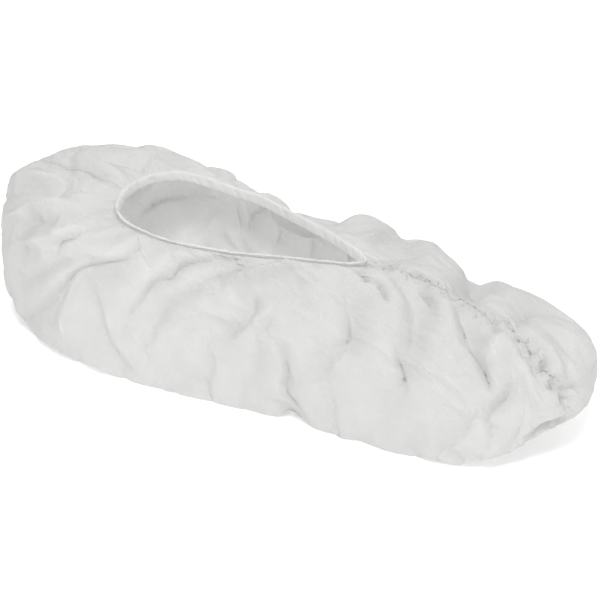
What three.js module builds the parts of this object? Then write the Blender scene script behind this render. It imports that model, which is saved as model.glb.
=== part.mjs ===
// Disposable shoe cover: two cloth side panels sewn together over the vamp, under the sole and
// up the heel, with an elastic hem band round the opening.
// Millimetres. +X points to the toe, +Y to the wearer's left, +Z up; the sole rests on z = 0.
import * as THREE from "three";

// Driving dimensions
const WALL = 1.2; // cloth wall thickness
const PIECE_GAP = 0.3; // clearance between neighbouring pieces
const BAND_HEIGHT = 6; // elastic hem band, along Z
const BAND_THICKNESS = 2.2;
const BAND_BELOW_RIM = 2.5; // how far the band hangs below the panels' edge
const BAND_LEAN = 1; // how far the band's top edge leans into the opening
const BAND_CHAMFER = 0.6;
const SEAM_WIDTH = 4; // sewn seam allowance, flat against the inside
const SEAM_CLEARANCE = 0.6; // between the allowance and the panels
const SEAM_THICKNESS = 1.5;
const HEEL_X = -186; // ends of the sole joint along X
const TOE_X = 133;
const TOE_JOINT_Y = -38; // the joint leaves the middle towards the toe
const SOLE_INSET = 18; // from the ends of the sole edge to the ends of the sole's inner line
const WIDEST_DROP = 0.75; // share of the widest line's height that its lower handle takes
const SOLE_ROUNDING = 0.6; // share of the overhang that the sole edge's handle takes
const MIDDLE_X = -16.7; // middle of the length in the tables below, moved to x = 0

// Mesh steps
const STEPS_ROUND = 50; // round one panel, vamp joint to heel joint
const STEPS_TOP = 11; // opening edge to the widest line
const STEPS_SIDE = 3; // widest line to the sole edge
const STEPS_SOLE = 3; // sole edge to the sole joint
const FOLD_SAMPLES = 12; // points taken along each fold line
const SLOPE_STEP = 0.02; // step in "round" for the direction of the opening edge

// Sections round the cover, one per row. "round" runs from the heel joint (-1) along the left
// side to the vamp joint (0), then along the right side to the heel joint (1).
// rim: opening edge. reach, turn (degrees), rise: its curve handle. wide: widest line, whose
// upper handle rises by wideRise. sole: edge of the flat sole.
const SECTION_COLUMNS = [
  "round", "rimX", "rimY", "rimZ", "reach", "turn", "rise",
  "wideX", "wideY", "wideZ", "wideRise", "soleX", "soleY",
];
const SECTION_ROWS = [
  [-1.00, -128, -2, 86, 54, 0, 13, -198, 0, 54, 46, -186, 0],
  [-0.94, -126, 9, 86, 50, 0, 13, -188, 36, 52, 46, -180, 30],
  [-0.86, -120, 22, 86, 44, 0, 12, -156, 60, 46, 46, -154, 52],
  [-0.74, -104, 32, 85, 34, 0, 2, -95, 67, 37, 46, -94, 59],
  [-0.60, -77, 33, 82, 26, 0, -8, -30, 64, 30, 38, -30, 56],
  [-0.46, -48, 28, 80, 26, 0, -10, 40, 66, 27, 35, 38, 56],
  [-0.34, -22, 20, 79, 34, 0, -8, 102, 65, 24, 33, 94, 52],
  [-0.24, 0, 12, 78, 46, 0, -4, 142, 42, 22, 31, 120, 24],
  [-0.16, 12, 6, 77, 58, 4, -2, 158, 12, 22, 29, 133, -2],
  [-0.08, 23, 1, 77, 68, 8, 0, 163, -18, 22, 28, 137, -22],
  [0.00, 30, -5, 77, 68, 14, 0, 157, -44, 22, 28, 133, -38],
  [0.10, 22, -12, 77, 56, 8, -2, 145, -56, 21, 28, 124, -46],
  [0.20, 6, -18, 78, 44, 4, -4, 128, -62, 21, 30, 113, -52],
  [0.33, -20, -27, 79, 34, 0, -9, 98, -65, 24, 33, 92, -59],
  [0.46, -48, -35, 80, 26, 0, -10, 40, -66, 27, 35, 38, -59],
  [0.60, -77, -40, 82, 26, 0, -8, -30, -64, 30, 38, -30, -58],
  [0.74, -104, -38, 85, 34, 0, 2, -95, -67, 37, 46, -94, -60],
  [0.86, -120, -26, 86, 44, 0, 12, -156, -60, 46, 46, -154, -53],
  [0.94, -126, -13, 86, 50, 0, 13, -188, -36, 52, 46, -180, -30],
  [1.00, -128, -2, 86, 54, 0, 13, -198, 0, 54, 46, -186, 0],
];

// The toe springs up off the floor: extra height by distance along X.
const SPRING_COLUMNS = ["x", "height"];
const SPRING_ROWS = [
  [-210, 0],
  [80, 0],
  [110, 2],
  [140, 7],
  [175, 15],
];

// Folds of the cloth, one per row: a line through a start, middle and end place, each given as
// "round" and "down" (0 opening edge, 1 widest line, 2 sole edge), then the fold's half-width
// and its height: ridges are positive, dents negative.
const FOLD_COLUMNS = [
  "startRound", "startDown", "midRound", "midDown", "endRound", "endDown", "width", "height",
];
const FOLD_ROWS = [
  [0.00, 0.00, 0.00, 0.50, 0.00, 1.00, 9, -3.5], // vamp joint lies in a valley
  [1.00, 0.05, 1.00, 0.50, 1.00, 1.20, 8, -2], // heel joint
  [0.89, 1.40, 0.78, 0.83, 0.63, 0.08, 9, -5], // long crease from the heel corner
  [0.96, 0.55, 0.96, 0.30, 0.94, 0.12, 8, 3],
  [0.82, 0.53, 0.80, 0.38, 0.79, 0.19, 7, -3],
  [0.75, 1.06, 0.69, 0.70, 0.64, 0.33, 8, -5], // slanting folds at the ankle
  [0.70, 0.95, 0.66, 0.62, 0.60, 0.35, 8, 3],
  [0.73, 1.23, 0.67, 0.82, 0.56, 0.27, 8, -4],
  [0.67, 0.93, 0.62, 0.71, 0.58, 0.67, 8, 4],
  [0.63, 0.97, 0.55, 0.66, 0.44, 0.30, 8, -4],
  [0.57, 0.53, 0.49, 0.30, 0.25, 0.05, 9, 5], // bright ridge under the opening edge
  [0.60, 0.98, 0.53, 0.68, 0.43, 0.42, 8, 3],
  [0.53, 0.80, 0.53, 1.27, 0.50, 1.80, 6, -4], // upright crease in the side
  [0.24, 0.21, 0.37, 0.52, 0.47, 0.90, 9, -4], // folds running down from the vamp joint
  [0.19, 0.21, 0.31, 0.52, 0.42, 0.90, 10, 3],
  [0.14, 0.22, 0.29, 0.57, 0.38, 0.83, 9, -5],
  [0.08, 0.34, 0.12, 0.46, 0.16, 0.58, 8, -5],
  [0.13, 0.53, 0.17, 0.62, 0.20, 0.75, 7, -3],
  [-0.49, 0.42, -0.44, 0.42, -0.40, 0.44, 14, 7], // puffs on the left of the vamp
  [-0.17, 0.08, -0.28, 0.26, -0.39, 0.46, 9, 4],
  [-0.38, 0.46, -0.28, 0.45, -0.16, 0.40, 16, 6],
  [-0.10, 0.54, -0.16, 0.64, -0.23, 0.76, 8, -4],
  [-0.96, 0.38, -0.92, 0.20, -0.88, 0.06, 8, -3], // pleats behind the opening
  [-0.99, 0.45, -0.97, 0.25, -0.96, 0.08, 7, 2.5],
  [-0.70, 0.20, -0.68, 0.60, -0.72, 1.10, 10, -5], // dents of the left side
  [-0.58, 0.30, -0.55, 0.70, -0.52, 1.20, 10, 4],
  [-0.30, 0.60, -0.36, 0.85, -0.40, 1.20, 9, -4],
];

const CLOTH_COLOUR = 0xdfe0e2;
const BAND_COLOUR = 0xd9dadc;
const SEAM_COLOUR = 0xd2d3d6;
const CLOTH_ROUGHNESS = 0.6;
const UP = new THREE.Vector3(0, 0, 1);
const RIGHT_SIDE = 1; // sign of "round" on each side
const LEFT_SIDE = -1;

function namedRows(columns, rows) {
  return rows.map((row) => Object.fromEntries(columns.map((name, k) => [name, row[k]])));
}

const SECTIONS = namedRows(SECTION_COLUMNS, SECTION_ROWS);
const SPRING = namedRows(SPRING_COLUMNS, SPRING_ROWS);
const FOLDS = namedRows(FOLD_COLUMNS, FOLD_ROWS);

// The value of one section column anywhere round the cover, as a smooth closed curve.
function sectionValue(name, round) {
  const last = SECTIONS.length - 1;
  const at = (k) => {
    if (k < 0) return { round: SECTIONS[last + k].round - 2, value: SECTIONS[last + k][name] };
    if (k > last) return { round: SECTIONS[k - last].round + 2, value: SECTIONS[k - last][name] };
    return { round: SECTIONS[k].round, value: SECTIONS[k][name] };
  };
  let k = 0;
  while (k < last - 1 && SECTIONS[k + 1].round <= round) k += 1;
  const slope = (m) => {
    const before = at(m).round - at(m - 1).round;
    const after = at(m + 1).round - at(m).round;
    const rateBefore = (at(m).value - at(m - 1).value) / before;
    const rateAfter = (at(m + 1).value - at(m).value) / after;
    return (rateBefore * after + rateAfter * before) / (before + after);
  };
  const span = at(k + 1).round - at(k).round;
  const t = (round - at(k).round) / span;
  const start = (2 * t ** 3 - 3 * t ** 2 + 1) * at(k).value;
  const startSlope = (t ** 3 - 2 * t ** 2 + t) * span * slope(k);
  const end = (3 * t ** 2 - 2 * t ** 3) * at(k + 1).value;
  const endSlope = (t ** 3 - t ** 2) * span * slope(k + 1);
  return start + startSlope + end + endSlope;
}

function springAt(x) {
  const k = SPRING.findIndex((row, n) => n > 0 && (x <= row.x || n === SPRING.length - 1));
  const from = SPRING[k - 1];
  const to = SPRING[k];
  const share = THREE.MathUtils.clamp((x - from.x) / (to.x - from.x), 0, 1);
  return from.height + share * (to.height - from.height);
}

function bezier(p0, p1, p2, p3, t) {
  const u = 1 - t;
  return new THREE.Vector3()
    .addScaledVector(p0, u ** 3)
    .addScaledVector(p1, 3 * u ** 2 * t)
    .addScaledVector(p2, 3 * u * t ** 2)
    .addScaledVector(p3, t ** 3);
}

function soleJointY(x) {
  return (TOE_JOINT_Y * (x - HEEL_X)) / (TOE_X - HEEL_X);
}

// A place on the cover's smooth form; down: 0 rim, 1 widest line, 2 sole edge, 3 sole joint.
function formPoint(round, down) {
  const value = (name) => sectionValue(name, round);
  const rim = new THREE.Vector3(value("rimX"), value("rimY"), value("rimZ"));
  const wide = new THREE.Vector3(value("wideX"), value("wideY"), value("wideZ"));
  const sole = new THREE.Vector3(value("soleX"), value("soleY"), 0);
  const point = new THREE.Vector3();
  if (down <= 1) {
    const turn = THREE.MathUtils.degToRad(value("turn"));
    const heading = Math.atan2(wide.y - rim.y, wide.x - rim.x) + turn;
    const outwards = new THREE.Vector3(Math.cos(heading), Math.sin(heading), 0);
    const rimHandle = rim.clone().addScaledVector(outwards, value("reach"));
    rimHandle.z += value("rise");
    const wideHandle = wide.clone().addScaledVector(UP, value("wideRise"));
    point.copy(bezier(rim, rimHandle, wideHandle, wide, down));
  } else if (down <= 2) {
    const wideHandle = wide.clone().addScaledVector(UP, -WIDEST_DROP * wide.z);
    const soleHandle = sole.clone().lerp(wide, SOLE_ROUNDING).setZ(0);
    point.copy(bezier(wide, wideHandle, soleHandle, sole, down - 1));
  } else {
    const share = (sole.x - HEEL_X) / (TOE_X - HEEL_X);
    const x = HEEL_X + SOLE_INSET + share * (TOE_X - HEEL_X - 2 * SOLE_INSET);
    const joint = new THREE.Vector3(x, soleJointY(x), 0);
    point.copy(sole).lerp(joint, down - 2);
  }
  point.z += springAt(point.x);
  return point;
}

const FOLD_LINES = FOLDS.map((fold) => {
  const points = [];
  for (let k = 0; k <= FOLD_SAMPLES; k += 1) {
    const t = k / FOLD_SAMPLES;
    const along = (start, mid, end) => (
      start * (1 - t) * (1 - 2 * t) + mid * 4 * t * (1 - t) + end * t * (2 * t - 1)
    );
    const round = along(fold.startRound, fold.midRound, fold.endRound);
    const down = along(fold.startDown, fold.midDown, fold.endDown);
    points.push(formPoint(THREE.MathUtils.clamp(round, -1, 1), down));
  }
  return { points, width: fold.width, height: fold.height };
});

// How far the folds lift the cloth at a place, outwards.
function foldLift(point) {
  let lift = 0;
  const segment = new THREE.Line3();
  const nearest = new THREE.Vector3();
  for (const line of FOLD_LINES) {
    let distance = Infinity;
    for (let k = 0; k < FOLD_SAMPLES; k += 1) {
      segment.set(line.points[k], line.points[k + 1]);
      segment.closestPointToPoint(point, true, nearest);
      distance = Math.min(distance, nearest.distanceTo(point));
    }
    lift += line.height * Math.exp(-((distance / line.width) ** 2));
  }
  return lift;
}

function downSteps() {
  const downs = [0];
  for (let k = 1; k <= STEPS_TOP; k += 1) downs.push(k / STEPS_TOP);
  for (let k = 1; k <= STEPS_SIDE; k += 1) downs.push(1 + k / STEPS_SIDE);
  for (let k = 1; k <= STEPS_SOLE; k += 1) downs.push(2 + k / STEPS_SOLE);
  return downs;
}

const DOWNS = downSteps();

function sideGrid(side) {
  const grid = [];
  for (let i = 0; i <= STEPS_ROUND; i += 1) {
    grid.push(DOWNS.map((down) => formPoint((side * i) / STEPS_ROUND, down)));
  }
  return grid;
}

const placeKey = (point) => point.toArray().map((value) => value.toFixed(4)).join(" ");

// Outward normals shared by the places of both side grids, so both panels meet alike.
function sharedNormals(grids) {
  const normals = new Map();
  const add = (point, normal) => {
    const key = placeKey(point);
    if (!normals.has(key)) normals.set(key, new THREE.Vector3());
    normals.get(key).add(normal);
  };
  for (const [side, grid] of grids) {
    for (let i = 0; i < STEPS_ROUND; i += 1) {
      for (let j = 0; j < DOWNS.length - 1; j += 1) {
        const corners = [grid[i][j], grid[i + 1][j], grid[i + 1][j + 1], grid[i][j + 1]];
        const across = corners[2].clone().sub(corners[0]);
        const normal = across.cross(corners[3].clone().sub(corners[1])).multiplyScalar(side);
        for (const corner of corners) add(corner, normal);
      }
    }
  }
  for (const normal of normals.values()) normal.normalize();
  return normals;
}

const GRIDS = new Map([
  [LEFT_SIDE, sideGrid(LEFT_SIDE)],
  [RIGHT_SIDE, sideGrid(RIGHT_SIDE)],
]);
const NORMALS = sharedNormals(GRIDS);

// The folded cloth's outer place, never below the floor, and its normal at a grid place.
function clothAt(point) {
  const normal = NORMALS.get(placeKey(point));
  const place = point.clone().addScaledVector(normal, foldLift(point));
  place.z = Math.max(place.z, 0);
  return { place, normal };
}

function meshOf(name, positions, faces, colour, roughness) {
  const a = new THREE.Vector3();
  const b = new THREE.Vector3();
  const c = new THREE.Vector3();
  let volume = 0;
  for (const face of faces) {
    a.copy(positions[face[0]]);
    b.copy(positions[face[1]]);
    c.copy(positions[face[2]]);
    volume += a.dot(b.cross(c));
  }
  const outwards = volume > 0 ? faces : faces.map(([p, q, r]) => [p, r, q]);
  const geometry = new THREE.BufferGeometry();
  geometry.setFromPoints(positions);
  geometry.translate(-MIDDLE_X, 0, 0);
  geometry.setIndex(outwards.flat());
  geometry.computeVertexNormals();
  const material = new THREE.MeshStandardMaterial({ color: colour, roughness, metalness: 0 });
  const mesh = new THREE.Mesh(geometry, material);
  mesh.name = name;
  return mesh;
}

const quad = (a, b, c, d) => [[a, b, c], [a, c, d]];

// A cloth panel: outer and inner skins joined round their four borders.
function panel(name, side) {
  const grid = GRIDS.get(side);
  const lastRow = DOWNS.length - 1;
  const rowLength = DOWNS.length;
  const skinSize = (STEPS_ROUND + 1) * rowLength;
  const outer = [];
  const inner = [];
  for (let i = 0; i <= STEPS_ROUND; i += 1) {
    for (let j = 0; j <= lastRow; j += 1) {
      const { place, normal } = clothAt(grid[i][j]);
      const onSideJoint = i === 0 || i === STEPS_ROUND;
      if (onSideJoint || j === lastRow) {
        const next = onSideJoint ? grid[i][Math.min(j + 1, lastRow)] : grid[i + 1][j];
        const before = onSideJoint ? grid[i][Math.max(j - 1, 0)] : grid[i - 1][j];
        const along = next.clone().sub(before);
        const inwards = along.cross(normal).normalize();
        const towards = -side * Math.sign(inwards.y);
        place.addScaledVector(inwards, (towards * PIECE_GAP) / 2);
      }
      outer.push(place);
      const through = j === 0 ? UP : normal; // the opening edge is cut upright
      inner.push(place.clone().addScaledVector(through, -WALL));
    }
  }
  const at = (i, j) => i * rowLength + j;
  const faces = [];
  const addQuad = (a, b, c, d) => faces.push(...quad(a, b, c, d));
  const length = (a, b) => outer[a].distanceTo(outer[b]);
  for (let i = 0; i < STEPS_ROUND; i += 1) {
    for (let j = 0; j < lastRow; j += 1) {
      const [a, b, c, d] = [at(i, j), at(i + 1, j), at(i + 1, j + 1), at(i, j + 1)];
      const [p, q, r, t] = length(a, c) < length(b, d) ? [a, b, c, d] : [b, c, d, a];
      addQuad(p, q, r, t);
      addQuad(p + skinSize, t + skinSize, r + skinSize, q + skinSize);
    }
    addQuad(at(i + 1, 0), at(i, 0), at(i, 0) + skinSize, at(i + 1, 0) + skinSize);
    const [e, f] = [at(i, lastRow), at(i + 1, lastRow)];
    addQuad(e, f, f + skinSize, e + skinSize);
  }
  for (let j = 0; j < lastRow; j += 1) {
    const [a, b] = [at(0, j), at(0, j + 1)];
    addQuad(a, b, b + skinSize, a + skinSize);
    const [c, d] = [at(STEPS_ROUND, j), at(STEPS_ROUND, j + 1)];
    addQuad(d, c, c + skinSize, d + skinSize);
  }
  return meshOf(name, [...outer, ...inner], faces, CLOTH_COLOUR, CLOTH_ROUGHNESS);
}

// A solid through a chain of like sections, closed into a loop or capped at both ends.
function sweep(name, sections, isLoop, colour, roughness) {
  const size = sections[0].length;
  const count = sections.length;
  const faces = [];
  const steps = isLoop ? count : count - 1;
  for (let i = 0; i < steps; i += 1) {
    const here = i * size;
    const there = ((i + 1) % count) * size;
    for (let k = 0; k < size; k += 1) {
      const m = (k + 1) % size;
      faces.push(...quad(here + k, here + m, there + m, there + k));
    }
  }
  if (!isLoop) {
    const end = (count - 1) * size;
    for (let k = 1; k < size - 1; k += 1) {
      faces.push([0, k + 1, k], [end, end + k, end + k + 1]);
    }
  }
  return meshOf(name, sections.flat(), faces, colour, roughness);
}

function rimFrame(round) {
  const wrap = (value) => value - 2 * Math.round(value / 2);
  const before = formPoint(wrap(round - SLOPE_STEP), 0);
  const after = formPoint(wrap(round + SLOPE_STEP), 0);
  const along = after.sub(before).setZ(0).normalize();
  const { place } = clothAt(formPoint(round, 0));
  return { place, inwards: new THREE.Vector3(along.y, -along.x, 0) };
}

// The hem band stands just inside the panels' edge, a rectangle with cut corners.
function openingBinding() {
  const sections = [];
  const cut = BAND_CHAMFER;
  const corners = [
    [0, cut], [cut, 0], [BAND_THICKNESS - cut, 0], [BAND_THICKNESS, cut],
    [BAND_THICKNESS, BAND_HEIGHT - cut], [BAND_THICKNESS - cut, BAND_HEIGHT],
    [cut, BAND_HEIGHT], [0, BAND_HEIGHT - cut],
  ];
  for (let side = LEFT_SIDE; side <= RIGHT_SIDE; side += RIGHT_SIDE - LEFT_SIDE) {
    for (let i = 0; i < STEPS_ROUND; i += 1) {
      const step = side === LEFT_SIDE ? STEPS_ROUND - i : i;
      const { place, inwards } = rimFrame((side * step) / STEPS_ROUND);
      sections.push(corners.map(([depth, height]) => {
        const lean = (BAND_LEAN * height) / BAND_HEIGHT;
        const corner = place.clone().addScaledVector(inwards, PIECE_GAP + depth + lean);
        corner.z += height - BAND_BELOW_RIM;
        return corner;
      }));
    }
  }
  return sweep("opening_binding", sections, true, BAND_COLOUR, CLOTH_ROUGHNESS);
}

// A flat seam allowance along a run of joint places, just clear of the inside.
function seamStrip(name, places) {
  const sections = places.map((point, k) => {
    const { place, normal } = clothAt(point);
    const after = places[Math.min(k + 1, places.length - 1)];
    const before = places[Math.max(k - 1, 0)];
    const across = after.clone().sub(before).cross(normal).normalize();
    const near = place.clone().addScaledVector(normal, -WALL - SEAM_CLEARANCE);
    const far = near.clone().addScaledVector(normal, -SEAM_THICKNESS);
    return [
      near.clone().addScaledVector(across, SEAM_WIDTH / 2),
      near.clone().addScaledVector(across, -SEAM_WIDTH / 2),
      far.clone().addScaledVector(across, -SEAM_WIDTH / 2),
      far.clone().addScaledVector(across, SEAM_WIDTH / 2),
    ];
  });
  return sweep(name, sections, false, SEAM_COLOUR, CLOTH_ROUGHNESS);
}

// Takes a short gap's worth off both ends of a run of places.
function shortened(places) {
  const run = places.slice();
  const pullIn = (end, next) => {
    const away = next.clone().sub(end);
    return end.clone().addScaledVector(away, PIECE_GAP / away.length());
  };
  const last = run.length - 1;
  const start = pullIn(run[0], run[1]);
  NORMALS.set(placeKey(start), NORMALS.get(placeKey(run[0])));
  run[0] = start;
  const end = pullIn(run[last], run[last - 1]);
  NORMALS.set(placeKey(end), NORMALS.get(placeKey(run[last])));
  run[last] = end;
  return run;
}

const soleEdgeRow = STEPS_TOP + STEPS_SIDE;
const rightGrid = GRIDS.get(RIGHT_SIDE);
const vampRun = rightGrid[0].slice(1, soleEdgeRow + 1);
const heelRun = rightGrid[STEPS_ROUND].slice(1, soleEdgeRow + 1);
const soleRun = [
  ...rightGrid[0].slice(soleEdgeRow),
  ...rightGrid.slice(1, STEPS_ROUND).map((column) => column[DOWNS.length - 1]),
  ...rightGrid[STEPS_ROUND].slice(soleEdgeRow).reverse(),
];

const cover = new THREE.Group();
cover.name = "shoe_cover";
cover.add(
  panel("right_panel", RIGHT_SIDE),
  panel("left_panel", LEFT_SIDE),
  openingBinding(),
  seamStrip("vamp_seam", shortened(vampRun)),
  seamStrip("sole_seam", shortened(soleRun)),
  seamStrip("heel_seam", shortened(heelRun)),
);

export default cover;
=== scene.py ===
"""Disposable shoe cover: two cloth panels, gathered elastic hem, overlocked seams, thread.

The two panels are cut from flat grids, laid over one ring-shaped form, creased, let
crumple with Cloth, and given their wall. The hem, the seam allowances and the thread follow
the same ring.
"""

import math

import bpy
import numpy as np
from mathutils import Matrix, Vector


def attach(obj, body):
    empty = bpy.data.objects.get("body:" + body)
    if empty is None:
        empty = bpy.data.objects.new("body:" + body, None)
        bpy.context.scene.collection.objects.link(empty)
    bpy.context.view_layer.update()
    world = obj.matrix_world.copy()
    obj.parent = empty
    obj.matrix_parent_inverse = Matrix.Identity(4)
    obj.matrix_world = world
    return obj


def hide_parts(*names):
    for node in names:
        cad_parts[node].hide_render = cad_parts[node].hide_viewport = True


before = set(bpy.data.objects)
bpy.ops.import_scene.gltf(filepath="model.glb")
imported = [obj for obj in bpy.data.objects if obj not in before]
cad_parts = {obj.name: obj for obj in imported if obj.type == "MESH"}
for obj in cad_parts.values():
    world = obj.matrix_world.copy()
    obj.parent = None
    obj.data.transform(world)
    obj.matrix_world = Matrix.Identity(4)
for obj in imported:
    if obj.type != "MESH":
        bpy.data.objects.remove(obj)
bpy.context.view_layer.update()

bl_info = {
    "name": "Shoe cover",
    "version": (1, 0, 0),
    "blender": (4, 5, 0),
    "location": "View3D > Sidebar > Shoe cover",
    "description": "Builds the cloth, hem, seams and thread of a disposable shoe cover",
    "category": "Object",
}

MM = 0.001

# ---------------------------------------------------------------------------------------
# The form. "around" runs from the heel joint (-1) along the left side to the vamp joint (0)
# and along the right side to the heel joint (1). "down" is 0 at the opening edge, 1 on the
# widest line, 2 at the edge of the sole, 3 at the sole joint. Lengths are in millimetres.
#
# Each row is one cut down through the wall: the opening edge (rim); the handle of the curve
# there, as a distance outwards (reach), the degrees that it is turned and its rise; the widest
# line and the height of its handle above it (wide_rise); and the edge of the sole and how far
# it is lifted.

SECTION_COLUMNS = (
    "around", "rim_x", "rim_y", "rim_z", "reach", "turn", "rise",
    "wide_x", "wide_y", "wide_z", "wide_rise", "sole_x", "sole_y", "lift",
)
SECTION_ROWS = np.array((
    (-1.00, -125, -2, 86, 54, 0, 13, -199, 0, 55, 43, -172, 0, 0),
    (-0.94, -123, 9, 86, 50, 0, 12, -188, 36, 52, 43, -167, 26, 0),
    (-0.86, -118, 21, 86, 44, 0, 11, -157, 60, 46, 46, -147, 46, 0),
    (-0.74, -104, 32, 85, 34, 0, -2, -95, 66, 37, 43, -94, 58, 0),
    (-0.60, -77, 33, 82, 26, 0, -12, -30, 63, 30, 34, -30, 56, 0),
    (-0.46, -48, 28, 80, 26, 0, -10, 40, 66, 27, 35, 38, 56, 0),
    (-0.34, -22, 20, 79, 34, 0, -8, 102, 65, 24, 33, 94, 52, 0),
    (-0.24, 0, 12, 78, 46, 0, -4, 142, 42, 22, 31, 120, 24, 6),
    (-0.16, 12, 6, 77, 58, 4, -2, 158, 12, 22, 29, 133, -2, 12),
    (-0.08, 23, 1, 77, 68, 14, 0, 163, -16, 22, 28, 137, -20, 12),
    (0.00, 30, -5, 77, 70, 23, 1, 159, -40, 22, 28, 133, -34, 11),
    (0.10, 22, -12, 77, 58, 14, -1, 146, -52, 21, 28, 124, -40, 6),
    (0.20, 6, -18, 78, 44, 4, -4, 128, -61, 21, 30, 113, -50, 1),
    (0.33, -20, -27, 79, 34, 0, -9, 98, -65, 24, 33, 92, -59, 0),
    (0.46, -48, -35, 80, 26, 0, -10, 40, -66, 27, 35, 38, -59, 0),
    (0.60, -77, -40, 82, 26, 0, -8, -30, -64, 30, 38, -30, -58, 0),
    (0.74, -104, -38, 85, 34, 0, 2, -95, -67, 37, 46, -93, -59, 0),
    (0.86, -118, -26, 86, 44, 0, 12, -156, -60, 46, 46, -147, -45, 0),
    (0.94, -123, -13, 86, 50, 0, 13, -189, -36, 52, 44, -166, -26, 0),
    (1.00, -125, -2, 86, 54, 0, 13, -199, 0, 55, 43, -172, 0, 0),
), float)
# X, and how far the toe springs up there
SPRING = np.array(((-210, 0), (80, 0), (110, 2), (140, 7), (175, 15)), float)
MIDDLE_X = -16.7           # the table's X at the middle of the finished cover
HEEL_X, TOE_X = -186, 133  # ends of the line that the sole joint lies on
SOLE_INSET = 18            # how far inside those ends the joint stops
TOE_JOINT_Y = -38          # the line's Y at the toe; at the heel it is nought
WIDEST_DROP = 0.75         # share of the side's height that it drops before it turns in
SOLE_ROUNDING = 0.6        # share of the side's inward run that lies level beside the sole
UP = np.array((0, 0, 1.0))

COLUMNS_ROUND = 800
ROWS_TOP, ROWS_SIDE, ROWS_SOLE = 62, 26, 20
DOWN = np.concatenate((
    np.linspace(0, 1, ROWS_TOP, endpoint=False),
    np.linspace(1, 2, ROWS_SIDE, endpoint=False),
    np.linspace(2, 3, ROWS_SOLE + 1),
))
AROUND = np.linspace(-1, 1, COLUMNS_ROUND, endpoint=False)
VAMP, HEEL = COLUMNS_ROUND // 2, 0  # the joints' columns
# the vamp and heel joints' rows, short of the opening and of the sole's edge
JOINT_ROWS = slice(3, ROWS_TOP + ROWS_SIDE - 3)
RING_RUN = 900  # nominal length round the ring, which the facets are laid out on

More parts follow.
